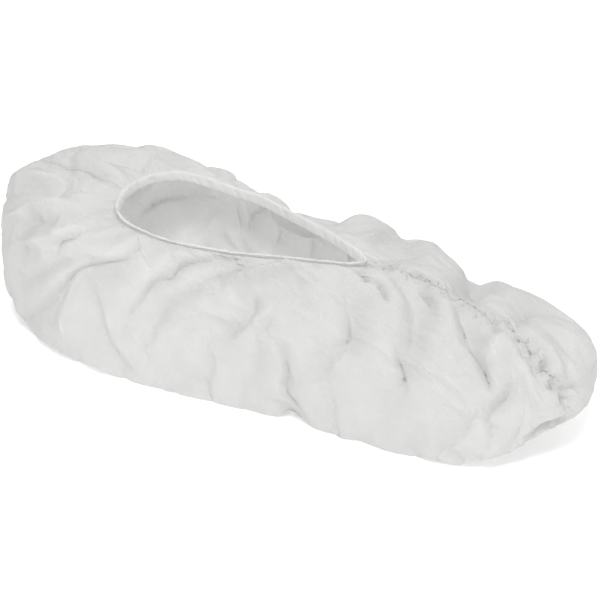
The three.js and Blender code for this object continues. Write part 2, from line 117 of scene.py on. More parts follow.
# Folds, one per row:
#   the places along its line (around, down)
#   its half-width and its height in millimetres (a valley is below nought)
#   how sharp its crest is (2 is round, 1 is a crease)
#   its skew: the share by which it is wider on the lower side of a line that runs towards 1,
#     and narrower on the other side
#   in some rows a tilt, in millimetres, which raises that lower side and lowers the other
FOLDS = (
    # heel, right side
    (((0.92, 1.55), (0.836, 1.10), (0.805, 0.91), (0.785, 0.78), (0.76, 0.66), (0.731, 0.48), (0.701, 0.23),
      (0.65, 0.04)), 5, -3, 1.2, 0.3, 4),
    (((0.787, 0.80), (0.80, 0.94), (0.809, 1.07), (0.809, 1.30)), 3.5, 3, 1.3, 0),
    (((0.772, 0.80), (0.772, 1.00), (0.78, 1.20)), 9, -3, 2, 0, 2),
    (((0.972, 0.66), (0.96, 0.41), (0.958, 0.27), (0.95, 0.10)), 4.5, 3.2, 1.3, 0.4),
    (((0.95, 0.66), (0.939, 0.43), (0.924, 0.29), (0.906, 0.20)), 6, -3.2, 1.6, 0),
    (((0.925, 0.75), (0.905, 0.60), (0.889, 0.42), (0.881, 0.23), (0.868, 0.08)), 2.5, -2.6, 1.1, 0.4),
    (((0.915, 0.76), (0.893, 0.55), (0.875, 0.36), (0.866, 0.14)), 4.5, 3.0, 1.4, 0.3),
    (((0.885, 0.82), (0.87, 0.64), (0.846, 0.50), (0.83, 0.40)), 7, -3.4, 1.6, 0),
    (((0.90, 0.88), (0.86, 0.74), (0.821, 0.56), (0.80, 0.25)), 5, 3.2, 1.3, 0.3),
    (((0.816, 0.72), (0.811, 0.61), (0.798, 0.46), (0.792, 0.22)), 2.5, -2.6, 1.1, 0.3),
    (((0.89, 1.07), (0.833, 0.88), (0.804, 0.75), (0.766, 0.59), (0.745, 0.50)), 4, -1.8, 1.5, 0),
    # gathers running from the opening down the heel
    (((0.976, 0.20), (0.966, 0.00)), 2, 1.4, 1.4, 0),
    (((0.945, 0.18), (0.935, 0.00)), 2, -1.4, 1.4, 0),
    (((0.915, 0.20), (0.905, 0.00)), 2, 1.2, 1.4, 0),
    (((0.862, 0.20), (0.84, 0.00)), 2, 1.5, 1.4, 0),
    (((0.835, 0.18), (0.82, 0.00)), 2, -1.4, 1.4, 0),
    (((0.81, 0.22), (0.795, 0.00)), 2, 1.4, 1.4, 0),
    (((0.78, 0.26), (0.75, 0.00)), 2.2, 1.5, 1.4, 0),
    # heel, left side
    (((-0.945, 0.50), (-0.955, 0.24), (-0.929, 0.15), (-0.882, 0.04)), 2.5, -2.2, 1.2, 0.4),
    (((-0.97, 0.48), (-0.976, 0.21), (-0.975, 0.12), (-0.968, 0.02)), 4.5, 3, 1.5, 0),
    (((0.988, 0.52), (0.987, 0.30), (0.982, 0.12)), 5, -2.2, 1.8, 0),
    (((-0.91, 0.34), (-0.853, 0.28), (-0.797, 0.05)), 3, -1.8, 1.3, 0),
    (((-0.88, 0.30), (-0.83, 0.18), (-0.80, 0.02)), 4, 1.6, 1.6, 0),
    # ankle, right side
    (((0.639, 0.29), (0.683, 0.62), (0.700, 0.78), (0.719, 0.92), (0.75, 1.08)), 6, -3.6, 1.5, 0.3),
    (((0.592, 0.39), (0.619, 0.53), (0.661, 0.73), (0.689, 0.92), (0.703, 1.07)), 5, -3.2, 1.4, -0.3),
    (((0.406, 0.02), (0.508, 0.09), (0.603, 0.23), (0.653, 0.46), (0.683, 0.64)), 3, -2.2, 1.2, 0.4),
    (((0.436, 0.12), (0.522, 0.23), (0.597, 0.40)), 3, -2, 1.2, 0),
    (((0.667, 0.92), (0.636, 0.77), (0.617, 0.69), (0.589, 0.68), (0.581, 0.72)), 4, 2.4, 1.4, 0.4),
    (((0.608, 0.92), (0.564, 0.71)), 6, -2.4, 1.8, 0),
    # middle of the right side
    (((0.565, 0.46), (0.481, 0.27), (0.376, 0.13), (0.25, 0.02)), 5, 4.6, 1.3, 0.4),
    (((0.522, 0.26), (0.425, 0.15), (0.292, 0.02)), 2.5, -1.8, 1.2, 0),
    (((0.474, 0.30), (0.532, 0.57), (0.57, 0.74), (0.605, 0.90)), 5, -3.2, 1.4, -0.3),
    (((0.605, 0.94), (0.546, 0.68), (0.438, 0.39)), 5, 3.4, 1.4, 0.4),
    (((0.542, 0.74), (0.492, 0.54)), 3, -1.4, 1.2, 0),
    (((0.55, 0.78), (0.556, 0.89), (0.567, 1.06)), 3, -1.6, 1.3, 0),
    (((0.522, 0.73), (0.525, 0.95), (0.528, 1.12), (0.511, 1.35)), 3, -3, 1.1, 0.5),
    (((0.535, 1.2), (0.525, 1.6), (0.52, 2.2)), 9, -3.5, 1.8, 0.3),
    (((0.219, 0.16), (0.328, 0.40), (0.386, 0.55), (0.444, 0.68)), 6, -3.4, 1.5, 0.3),
    (((0.472, 0.87), (0.406, 0.63)), 3, 1.6, 1.3, 0),
    (((0.064, 0.11), (0.097, 0.21), (0.211, 0.44), (0.308, 0.59)), 7, -4, 1.6, 0.3),
    (((0.308, 0.57), (0.325, 0.63), (0.347, 0.72), (0.392, 0.87)), 4, -2.4, 1.3, 0.4),
    (((0.117, 0.03), (0.156, 0.14)), 2, -2, 1.1, 0),
    (((0.122, 0.11), (0.183, 0.27)), 2, -2.2, 1.1, 0),
    (((0.039, 0.16), (0.058, 0.21), (0.097, 0.30)), 2.2, -2.4, 1.1, 0),
    # toe
    (((0.035, 0.29), (0.06, 0.36), (0.095, 0.45), (0.135, 0.57)), 5, -5, 1.4, 0.2, -2),
    (((0.03, 0.47), (0.07, 0.52), (0.10, 0.60)), 7, 3, 1.8, 0),
    (((0.112, 0.50), (0.135, 0.61), (0.163, 0.72)), 2, -2.8, 1.1, 0.3),
    (((0.028, 0.45), (0.058, 0.47)), 3, -3, 1.2, 0),
    (((0.014, 0.54), (0.025, 0.58), (0.031, 0.64), (0.039, 0.78)), 3, -2.4, 1.2, 0.3),
    (((0.092, 0.68), (0.133, 0.76), (0.175, 0.82), (0.203, 0.89)), 4, -3, 1.3, 0),
    (((-0.03, 0.29), (-0.099, 0.38), (-0.09, 0.44), (-0.05, 0.48)), 3, -2.4, 1.2, 0),
    (((-0.03, 0.47), (-0.10, 0.52), (-0.175, 0.58), (-0.235, 0.72)), 4, -3.6, 1.2, 0.3),
    (((-0.145, 0.60), (-0.14, 0.76), (-0.14, 0.92)), 8, 2.6, 2, 0),
    (((-0.051, 0.60), (-0.035, 0.68), (-0.024, 0.78)), 4, 2, 1.5, 0),
    (((0.01, 0.77), (-0.055, 0.87)), 2.5, -2.4, 1.2, 0),
    (((0.012, 0.83), (-0.035, 0.91)), 2.5, -2.2, 1.2, 0),
    # holes and puffs where the vamp joint is drawn up
    (((-0.025, 0.395), (0.025, 0.405)), 2, -1.5, 1.4, 0),
    (((-0.03, 0.455), (0.03, 0.465)), 3, 1.6, 1.8, 0),
    (((-0.03, 0.525), (0.03, 0.535)), 2.2, -1.6, 1.4, 0),
    (((-0.03, 0.59), (0.03, 0.60)), 2, -1.4, 1.4, 0),
    (((-0.03, 0.63), (0.03, 0.64)), 2.4, 1.2, 1.8, 0),
    (((-0.03, 0.67), (0.03, 0.68)), 2, -1.4, 1.4, 0),
    (((-0.03, 0.76), (0.03, 0.77)), 2.4, -1.6, 1.4, 0),
    (((0.131, 1.05), (0.092, 0.96), (0.061, 0.93), (0.017, 0.93), (-0.044, 0.98)), 4, 2, 1.5, 0),
    (((0.14, 1.22), (0.092, 1.12), (0.061, 1.08), (0.017, 1.08), (-0.044, 1.12)), 7, -4, 1.7, 0),
    # left of the vamp
    (((-0.48, 0.42), (-0.44, 0.42), (-0.39, 0.45)), 9, 5, 2, 0),
    (((-0.231, 0.09), (-0.317, 0.26), (-0.389, 0.45)), 5, 3.4, 1.3, 0.4),
    (((-0.395, 0.48), (-0.345, 0.46), (-0.29, 0.38), (-0.22, 0.28)), 8, 3.2, 2, 0),
    (((-0.07, 0.28), (-0.20, 0.42), (-0.335, 0.62), (-0.40, 0.82)), 8, -7, 1.8, 0),
    (((-0.111, 0.05), (-0.197, 0.17), (-0.236, 0.28)), 2.5, -1.2, 1.3, 0),
    (((-0.35, 0.41), (-0.283, 0.36)), 3, 1.2, 1.3, 0),
    (((-0.53, 0.14), (-0.552, 0.40), (-0.57, 0.70)), 7, -6, 1.8, 0.3),
    (((-0.58, 0.10), (-0.60, 0.35), (-0.62, 0.62)), 6, 3, 1.6, 0.3),
    # left side, away from the opening
    (((-0.30, 0.70), (-0.34, 1.00), (-0.33, 1.40)), 7, -3.5, 1.4, 0.3),
    (((-0.40, 0.62), (-0.45, 0.95), (-0.47, 1.30)), 6, 3, 1.5, 0.3),
    (((-0.49, 0.50), (-0.55, 0.85), (-0.56, 1.20), (-0.54, 1.60)), 5, -3.6, 1.3, -0.3),
    (((-0.62, 0.30), (-0.66, 0.60), (-0.70, 0.90), (-0.68, 1.30)), 6, -3, 1.4, 0.3),
    (((-0.72, 0.25), (-0.78, 0.55), (-0.83, 0.85)), 4, -2.6, 1.2, 0.3),
    (((-0.85, 0.35), (-0.88, 0.65), (-0.90, 1.05)), 5, -3, 1.3, 0.3),
    (((-0.93, 0.60), (-0.90, 0.95), (-0.86, 1.25)), 6, 2.4, 1.5, 0),
    # left side, seen from inside through the opening
    (((-0.856, 1.16), (-0.835, 1.02), (-0.807, 0.93), (-0.774, 0.89), (-0.75, 0.90)), 4, -3.4, 1.2, 0),
    (((-0.74, 0.70), (-0.77, 0.96), (-0.805, 1.22)), 8, 5, 2, 0.3, 4),
    (((-0.822, 0.84), (-0.848, 0.98), (-0.87, 1.14)), 6, 4, 1.8, 0),
    (((-0.748, 0.96), (-0.735, 1.06), (-0.722, 1.15)), 2.5, -2.2, 1.2, 0),
    (((-0.723, 0.80), (-0.709, 0.94), (-0.699, 1.12)), 2.5, -2.4, 1.2, 0.3),
    (((-0.667, 0.78), (-0.656, 0.88), (-0.667, 1.02)), 3, -2, 1.3, 0),
    (((-0.608, 0.70), (-0.606, 0.87), (-0.618, 1.05)), 3, -2, 1.3, 0),
)
FOLD_DEPTH = 1.75     # makes every fold deeper or shallower at once
FOLD_STEPS = 40       # points along a fold's line
FOLD_REACH = 3.2      # half-widths beyond which a fold is nothing
FOLD_END = 0.02       # share of its line, at each end, over which a fold fades no further
FOLD_FADE = 0.6       # how fully a fold keeps its height towards its ends (0 is all the way)
TILT_REACH = 1.6      # half-widths over which a tilt spreads
TILT_GAIN = 1.65      # makes the most that a tilt raises or lowers 0.7 of its value
RIM_FOLDS = 0.15      # share of their height that folds keep at the opening edge,
RIM_CALM = 7          # and the mm over which they grow from that to all of it
SOLE_JOINT_CALM = 8   # mm beside the sole joint over which folds die away

# Facets: size in millimetres, slope and seed
FACETS = ((34, 0.10, 61), (15, 0.05, 62))
FACET_BORDER = 0.16   # softness of a facet's border, as a share of its size

# Gathers under the opening: spacing, height and reach in millimetres, and seed
GATHERS = ((5.2, 0.45, 10, 11), (9, 0.8, 20, 12), (17, 1.1, 34, 13))
GATHER_RUN = 5        # spacings that a gather runs down before it changes
GATHERS_AT_RIM = 0.2  # share of their height that the gathers keep at the opening edge

# Puckers across a joint: its column, then their height, spacing and reach in millimetres,
# their seed, and how much of the beading its thread gives the cloth beside it
PUCKERS = ((VAMP, 1.2, 6, 9, 21, 0.75), (HEEL, 0.7, 8, 9, 22, 0.15))
PUCKER_RUN = 14       # mm from the joint over which a pucker changes
GROOVE_DEPTH, GROOVE_WIDTH = 0.35, 1.6      # of the groove along a joint
JOINT_BEADING_REACH = 4.5
HEM_BEADING, HEM_BEADING_REACH = 0.25, 3.5  # the share at the hem, and how far down it goes

CRUMPLE_STEP = 2      # the ring is crumpled on each second column and row
CRUMPLE_FRAMES = 20
SWELL_PASSES = 60     # how widely the form's swelling is averaged
SWELL_DROPPED = 0.85  # share of it that is taken back

CUT_STEP_ROUND, CUT_STEP_DOWN = 10, 4  # columns and rows between the flat cut's points
JOINT_GAP = 0.3       # mm between the two panels' cloth at their joints
FLOOR_GAP = 0.0002    # metres by which the cloth is clear of the floor it lies on

HEM_SIDES = 18
HEM_THICKNESS, HEM_HEIGHT = 1.9, 5.4
HEM_SMOOTHING = 160   # passes that even out its course
HEM_CRINKLE, HEM_WAVE = 2.2, 9  # mm between its crinkles, and between its slower waves

ALLOWANCE_SIDES = 12
ALLOWANCE_HALF_WIDTH, ALLOWANCE_HALF_THICKNESS = 2.0, 0.6
ALLOWANCE_DEPTH, ALLOWANCE_WAVE = 1.6, 0.4  # mm inside the joint, and how much that varies
ALLOWANCE_LOWEST = 0.7  # height above the floor that no point of it goes below

STRAND_RADIUS = 0.00017             # metres
STITCH_BODY, STITCH_END = 0.6, 0.2  # shares of a stitch: its straight part, and each end
WRAP_ARCH, CHAIN_ARCH, SEAM_ARCH = 0.10, 0.05, 0.06  # mm by which a stitch's middle stands up
# Wraps over the hem: the points of its section that each runs from and to
WRAPS = ((7, 11), (5, 8), (3, 6))
WRAP_SLANT = 3        # columns that a wrap moves along as it crosses
WRAP_SPACING = 0.8    # stitch lengths from wrap to wrap
CHAIN_SHARE = 0.72    # share of its spacing that a stitch beside the hem takes up
SOLE_THREAD_INSET = 8  # columns from the sole joint's ends to its thread
# The rungs across a joint, and the loops round its allowance (drop is from their depth inwards)
LADDER_HALF_WIDTH, LADDER_SLANT, LADDER_HEIGHT = 1.1, 0.5, 0.35
LOOP_DEPTH, LOOP_HALF_WIDTH, LOOP_HALF_LENGTH, LOOP_DROP = 1.7, 2.2, 0.9, 0.6

FLOOR_SIZE = 40       # metres, so that its edges are far away
# Area lights: place and size in metres, and power in watts
LIGHTS = (
    ((0.3, -0.78, 1.2), 0.3, 11.7),
    ((0.0, 0.1, 1.6), 1.0, 4),
    ((0.3, 0.95, 0.95), 0.8, 4),
)
AIM_X = 0.0167        # metres; the camera's aim along the floor,
AIM_LEFT, AIM_RAISED = 0.0126, 0.0379  # and how far it is then moved across its view


# ---------------------------------------------------------------------------------------
# Small helpers


def srgb(code):
    """Linear colour of an sRGB hex code."""
    channels = (int(code[i:i + 2], 16) / 255 for i in (1, 3, 5))
    return [*(c / 12.92 if c <= 0.04045 else ((c + 0.055) / 1.055) ** 2.4 for c in channels), 1]


def smooth_step(low, high, value):
    """0 up to low, 1 from high on, and an even bend between them."""
    share = np.clip((value - low) / (high - low), 0, 1)
    return share * share * (3 - 2 * share)


def value_noise(x, y, seed, wrap=0):
    """Smooth noise in -1..1 on a unit lattice. wrap closes it along x after that many cells."""
    x0, y0 = np.floor(x).astype(int), np.floor(y).astype(int)
    fade_x, fade_y = (f * f * f * (f * (f * 6 - 15) + 10) for f in (x - x0, y - y0))
    x0, y0 = x0 - x0.min() * (not wrap), y0 - y0.min()
    wide = wrap or x0.max() + 2
    lattice = np.random.default_rng(seed).uniform(-1, 1, (wide, y0.max() + 2))
    here, beside = x0 % wide, (x0 + 1) % wide
    low = lattice[here, y0] * (1 - fade_x) + lattice[beside, y0] * fade_x
    high = lattice[here, y0 + 1] * (1 - fade_x) + lattice[beside, y0 + 1] * fade_x
    return low * (1 - fade_y) + high * fade_y


def unit_length(vectors):
    """Vectors of the same directions, each of length one."""
    return vectors / np.maximum(np.linalg.norm(vectors, axis=-1, keepdims=True), 1e-9)


def stacked(x, y, z):
    return np.stack((x, y, z), -1)


def every(count, step):
    """Each step-th of count places, and the last."""
    return np.unique(np.append(np.arange(0, count, step), count - 1))


def filled_in(values, places, count, axis):
    """Values known at some places along an axis, filled in at all of its count places."""
    whole = np.arange(count)
    return np.apply_along_axis(lambda known: np.interp(whole, places, known), axis, values)


def deselect_all():
    if bpy.context.object and bpy.context.object.mode != "OBJECT":
        bpy.ops.object.mode_set(mode="OBJECT")
    bpy.ops.object.select_all(action="DESELECT")


def make_active(piece):
    deselect_all()
    piece.select_set(True)
    bpy.context.view_layer.objects.active = piece


def coordinates(mesh):
    flat = np.empty(len(mesh.vertices) * 3)
    mesh.vertices.foreach_get("co", flat)
    return flat.reshape(-1, 3)


def set_coordinates(mesh, points):
    mesh.vertices.foreach_set("co", np.asarray(points, float).ravel())
    mesh.update()


def corner_vertices(mesh):
    """The vertex at each corner of each face."""
    corners = np.empty(len(mesh.loops), int)
    mesh.loops.foreach_get("vertex_index", corners)
    return corners


def new_piece(name, points, faces):
    """An active mesh object from points in millimetres."""
    mesh = bpy.data.meshes.new(name)
    mesh.from_pydata((points.reshape(-1, 3) * MM).tolist(), [], faces)
    piece = bpy.data.objects.new(name, mesh)
    bpy.context.scene.collection.objects.link(piece)
    make_active(piece)
    return piece


def edit_whole(operator, **options):
    """Runs an edit-mode operator on all of the active mesh."""
    bpy.ops.object.mode_set(mode="EDIT")
    bpy.ops.mesh.select_all(action="SELECT")
    operator(**options)
    bpy.ops.object.mode_set(mode="OBJECT")


# ---------------------------------------------------------------------------------------
# The ring-shaped form


def section(name, around):
    """A column of the section table, smooth between its rows and closed round the ring."""
    keys, values = SECTION_ROWS[:, 0], SECTION_ROWS[:, SECTION_COLUMNS.index(name)]
    keys = np.concatenate((keys[-3:-1] - 2, keys, keys[1:3] + 2))
    values = np.concatenate((values[-3:-1], values, values[1:3]))
    gaps = np.diff(keys)
    rates = np.diff(values) / gaps
    slopes = np.zeros(len(keys))
    slopes[1:-1] = (rates[:-1] * gaps[1:] + rates[1:] * gaps[:-1]) / (gaps[1:] + gaps[:-1])
    i = np.clip(np.searchsorted(keys, around, side="right") - 1, 1, len(keys) - 3)
    gap = gaps[i]
    t = (around - keys[i]) / gap
    return ((2 * t**3 - 3 * t**2 + 1) * values[i] + (t**3 - 2 * t**2 + t) * gap * slopes[i]
            + (3 * t**2 - 2 * t**3) * values[i + 1] + (t**3 - t**2) * gap * slopes[i + 1])


def bezier(a, b, c, d, t):
    t = t[..., None]
    return (1 - t)**3 * a + 3 * (1 - t)**2 * t * b + 3 * (1 - t) * t**2 * c + t**3 * d


def form(around, down):
    """Points of the plain form, before folds, at matching arrays of around and down."""
    at = {name: section(name, around) for name in SECTION_COLUMNS[1:]}
    none = np.zeros_like(around)
    rim = stacked(at["rim_x"], at["rim_y"], at["rim_z"])
    wide = stacked(at["wide_x"], at["wide_y"], at["wide_z"])
    sole = stacked(at["sole_x"], at["sole_y"], at["lift"])
    heading = np.arctan2(wide[..., 1] - rim[..., 1], wide[..., 0] - rim[..., 0]) + np.radians(at["turn"])
    outward = stacked(np.cos(heading), np.sin(heading), none)
    top = bezier(rim, rim + outward * at["reach"][..., None] + UP * at["rise"][..., None],
                 wide + UP * at["wide_rise"][..., None], wide, np.clip(down, 0, 1))
    level = stacked(wide[..., 0], wide[..., 1], at["lift"])
    side = bezier(wide, wide - UP * WIDEST_DROP * (at["wide_z"] - at["lift"])[..., None],
                  sole + (level - sole) * SOLE_ROUNDING, sole, np.clip(down - 1, 0, 1))
    length = TOE_X - HEEL_X
    share = ((at["sole_x"] + section("sole_x", -around)) / 2 - HEEL_X) / length
    joint = stacked(HEEL_X + SOLE_INSET + share * (length - 2 * SOLE_INSET), none, none)
    joint[..., 1] = TOE_JOINT_Y * (joint[..., 0] - HEEL_X) / length
    joint[..., 2] = (at["lift"] + section("lift", -around)) / 2
    under = sole + (joint - sole) * np.clip(down - 2, 0, 1)[..., None]
    down = down[..., None]
    points = np.where(down < 1, top, np.where(down < 2, side, under))
    points[..., 2] += np.interp(points[..., 0], SPRING[:, 0], SPRING[:, 1])
    points[..., 0] -= MIDDLE_X
    return points


def normals(points):
    """Outward normals of the closed ring of points (columns round, rows down)."""
    along = np.roll(points, -1, 0) - np.roll(points, 1, 0)
    across = np.gradient(points, axis=1)
    return unit_length(np.cross(along, across))


def smooth_line(places, steps):
    """Even points on a smooth curve through the given places."""
    places = np.array(places, float)
    ends = np.vstack((2 * places[0] - places[1], places, 2 * places[-1] - places[-2]))
    at = np.linspace(0, len(places) - 1, steps)
    i = np.minimum(at.astype(int), len(places) - 2)
    t = (at - i)[:, None]
    a, b, c, d = (ends[i + n] for n in range(4))
    return 0.5 * (2 * b + (c - a) * t + (2 * a - 5 * b + 4 * c - d) * t**2 + (3 * b - a - 3 * c + d) * t**3)


def fold_heights(points, folds):
    """Height of all the folds at each point of the ring."""
    around, down = np.meshgrid(AROUND, DOWN, indexing="ij")
    heights = np.zeros(around.shape)
    for places, width, height, sharp, skew, *tilt in folds:
        line = smooth_line(places, FOLD_STEPS)
        spots = form(line[:, 0], line[:, 1])
        reach = width * FOLD_REACH
        low, high = spots.min(0) - reach, spots.max(0) + reach
        near = np.all((points > low) & (points < high), -1)
        place = np.stack((around[near], down[near]), -1)
        offset = points[near][:, None] - spots[None]
        far = np.linalg.norm(offset, axis=-1)
        index = far.argmin(1)
        # nearest point on the two pieces of line beside the nearest spot
        best = far[np.arange(len(far)), index]
        share = index / (FOLD_STEPS - 1)
        for step in (-1, 1):
            other = np.clip(index + step, 0, FOLD_STEPS - 1)
            run = spots[other] - spots[index]
            size = np.maximum((run**2).sum(-1), 1e-9)
            t = np.clip(((points[near] - spots[index]) * run).sum(-1) / size, 0, 1)
            distance = np.linalg.norm(points[near] - spots[index] - run * t[:, None], axis=-1)
            closer = distance < best
            best = np.where(closer, distance, best)
            share = np.where(closer, (index + step * t) / (FOLD_STEPS - 1), share)
        run = line[np.clip(index + 1, 0, FOLD_STEPS - 1)] - line[np.clip(index - 1, 0, FOLD_STEPS - 1)]
        gap = place - line[index]
        side = np.sign(run[:, 0] * gap[:, 1] - run[:, 1] * gap[:, 0])
        wide = width * (1 + skew * side)
        fade = np.sin(np.pi * np.clip(share, FOLD_END, 1 - FOLD_END)) ** FOLD_FADE
        heights[near] += FOLD_DEPTH * height * fade * np.exp(-((best / wide) ** sharp))
        if tilt:
            shift = side * best / (TILT_REACH * width)
            heights[near] += tilt[0] * fade * TILT_GAIN * shift * np.exp(-shift**2)
    return heights


def facets(x, y, size, slope, seed):
    """Flat facets with soft borders, each tilted its own way, as on stiff film once crushed."""
    cells = round(RING_RUN / size)
    x, y = x / RING_RUN * cells, y / size
    rng = np.random.default_rng(seed)
    rows = int(y.max()) + 4
    centre = rng.uniform(0.1, 0.9, (cells, rows, 2))
    tilt = rng.normal(0, slope, (cells, rows, 2))
    column, row = np.floor(x).astype(int), np.floor(y).astype(int)
    first = np.full(x.shape, 9.0)  # further than any facet's centre
    second = first.copy()
    height = np.zeros(x.shape)
    for right in (-1, 0, 1):
        for lower in (-1, 0, 1):
            i, j = column + right, row + lower
            k = np.clip(j + 1, 0, rows - 1)
            dx, dy = x - i - centre[i % cells, k, 0], y - j - centre[i % cells, k, 1]
            far = np.hypot(dx, dy)
            closer = far < first
            second = np.where(closer, first, np.minimum(second, far))
            plane = (dx * tilt[i % cells, k, 0] + dy * tilt[i % cells, k, 1]) * size
            height = np.where(closer, plane, height)
            first = np.where(closer, far, first)
    border = 1 - np.exp(-(second - first) / FACET_BORDER)
    return height * border


def arc_lengths(points, axis):
    """Length run at each point along an axis, from nought at its first."""
    steps = np.linalg.norm(np.diff(points, axis=axis), axis=-1)
    first = np.zeros_like(np.take(steps, [0], axis))
    return np.concatenate((first, np.cumsum(steps, axis)), axis)


def shaped_ring(settings):
    """The cloth's outer face as a ring of points, creased and gathered, in millimetres."""
    around, down = np.meshgrid(AROUND, DOWN, indexing="ij")
    points = form(around, down)
    depth = arc_lengths(points, 1)
    run = (around + 1) / 2 * RING_RUN
    calm = RIM_FOLDS + (1 - RIM_FOLDS) * smooth_step(0, RIM_CALM, depth)
    heights = fold_heights(points, FOLDS) * calm
    for size, slope, seed in FACETS:
        heights += settings.facets * facets(run, depth, size, slope, seed) * smooth_step(2, 12, depth)
    # the two panels' edges stay together along the joint under the sole
    apart = smooth_step(0, SOLE_JOINT_CALM, depth[:, -1:] - depth)
    points += normals(points) * (heights * apart)[..., None]
    if settings.crumple:
        points += crumpled(points, settings) * apart[..., None]
    return finish_ring(points, settings)


def finish_ring(points, settings):
    """Gathers under the opening, puckers along the joints, and the joints' grooves."""
    depth = arc_lengths(points, 1)
    rim_run = arc_lengths(np.concatenate((points[:, 0], points[:1, 0])), 0)
    run = rim_run[:-1, None] + 0 * depth
    whole = rim_run[-1]
    heights = np.zeros(depth.shape)
    # how much the thread draws the cloth into beads, at the hem and then at the joints; the laminate bumps
    # the beads by it and also paints shade into their pits by it
    drawn = HEM_BEADING * np.exp(-(depth / HEM_BEADING_REACH) ** 2)
    calm = GATHERS_AT_RIM + (1 - GATHERS_AT_RIM) * smooth_step(0, 5, depth)
    for spacing, height, reach, seed in GATHERS:
        cells = int(whole / spacing)
        pattern = value_noise(run / whole * cells, depth / (spacing * GATHER_RUN), seed, cells)
        heights += settings.gathers * height * pattern * calm * np.exp(-((depth / reach) ** 1.5))
    for column, height, spacing, reach, seed, beading in PUCKERS:
        off = np.linalg.norm(points - points[column][None], axis=-1)
        along = depth[column][None] + 0 * off
        right = (np.roll(np.arange(COLUMNS_ROUND), -column) > 0)[:, None]
        # the noise is read three cells further on for the right side, so the sides differ
        pattern = value_noise(along / spacing, off / PUCKER_RUN + 3.0 * right, seed)
        heights += settings.puckers * height * pattern * np.exp(-(off / reach) ** 1.4)
        heights -= GROOVE_DEPTH * np.exp(-(off / GROOVE_WIDTH) ** 1.3)
        drawn = np.maximum(drawn, beading * np.exp(-(off / JOINT_BEADING_REACH) ** 2))
    RING["drawn"] = drawn
    heights *= smooth_step(0, SOLE_JOINT_CALM, depth[:, -1:] - depth)
    points = points + normals(points) * heights[..., None]
    points[..., 2] = np.maximum(points[..., 2], 0)
    return points


def crumpled(points, settings):
    """How far Cloth moves the ring as it grows a little against a soft hold."""
    rows = every(len(DOWN), CRUMPLE_STEP)
    coarse = points[::CRUMPLE_STEP][:, rows]
    columns, height = coarse.shape[:2]
    index = np.arange(columns * height).reshape(columns, height)
    beside = np.roll(index, -1, 0)
    faces = np.stack((index[:, :-1], index[:, 1:], beside[:, 1:], beside[:, :-1]), -1).reshape(-1, 4)
    cloth = new_piece("crumple", coarse, faces.tolist())
    group = cloth.vertex_groups.new(name="hold")
    hold = np.full((columns, height), settings.hold)
    hold[:, 0] = 1
    hold[:, -1] = 1
    for value in np.unique(hold):
        group.add([int(i) for i in index[hold == value]], float(value), "REPLACE")
    modifier = cloth.modifiers.new("cloth", "CLOTH")
    how = modifier.settings
    how.quality = 6
    how.mass = 0.05
    how.tension_stiffness = how.compression_stiffness = 12
    how.shear_stiffness = 6
    how.bending_stiffness = 4
    how.tension_damping = how.compression_damping = how.shear_damping = 12
    how.bending_damping = 1
    how.air_damping = 2
    how.shrink_min = -settings.crumple
    how.vertex_group_mass = "hold"
    how.pin_stiffness = 0.6
    how.effector_weights.gravity = 0.0
    modifier.collision_settings.use_collision = False
    modifier.collision_settings.use_self_collision = False
    scene = bpy.context.scene
    modifier.point_cache.frame_start = 1
    modifier.point_cache.frame_end = CRUMPLE_FRAMES
    for number in range(1, CRUMPLE_FRAMES + 1):
        scene.frame_set(number)
    bpy.ops.object.modifier_apply(modifier=modifier.name)
    move = coordinates(cloth.data).reshape(columns, height, 3) / MM - coarse
    bpy.data.objects.remove(cloth, do_unlink=True)
    scene.frame_set(1)
    # keep the wrinkles and drop the swelling of the whole form
    swell = move
    for _ in range(SWELL_PASSES):
        swell = (np.roll(swell, 1, 0) + np.roll(swell, -1, 0) + 2 * swell) / 4
        beyond = np.pad(swell, ((0, 0), (1, 1), (0, 0)), mode="edge")
        swell = (beyond[:, 2:] + beyond[:, :-2] + 2 * swell) / 4
    move = move - SWELL_DROPPED * swell
    size = np.linalg.norm(move, axis=-1, keepdims=True)
    move *= np.minimum(1, settings.most_move / MM / np.maximum(size, 1e-6))
    # back onto the fine ring, where every second column lies between two that have moved
    spread = filled_in(move, rows, len(DOWN), 1)
    full = np.empty(points.shape)
    full[::CRUMPLE_STEP] = spread
    full[1::CRUMPLE_STEP] = (spread + np.roll(spread, -1, 0)) / 2
    return full


# ---------------------------------------------------------------------------------------
# Materials

EMBOSS_SPACING = 2.0      # mm between the laminate's pressed diamonds along a row
PAINTED_PIT_SHADE = "#CBCBCC"    # sRGB colours: the painted shade in the pits beside the thread,
THREAD_SHADE = "#E6E6E5"  # between the thread's fibres,
HEM_SHADE = "#F4F4F3"     # in the grain of the hem,
ALLOWANCE_SHADE, ALLOWANCE_LIGHT = "#E9E9E8", "#F2F2F1"  # and of the allowances


def add_node(tree, kind, inputs=None, **settings):
    """Adds a node. settings are its properties, inputs its sockets: a value or a socket to link."""
    node = tree.nodes.new(kind)
    for name, value in settings.items():
        setattr(node, name, value)
    for name, value in (inputs or {}).items():
        if isinstance(value, bpy.types.NodeSocket):
            tree.links.new(value, node.inputs[name])
        else:
            node.inputs[name].default_value = value
    return node


def blank_material(name):
    """A material with nothing but its output, its node tree, and that output."""
    material = bpy.data.materials.new(name)
    material.use_nodes = True
    tree = material.node_tree
    tree.nodes.clear()
    return material, tree, add_node(tree, "ShaderNodeOutputMaterial")


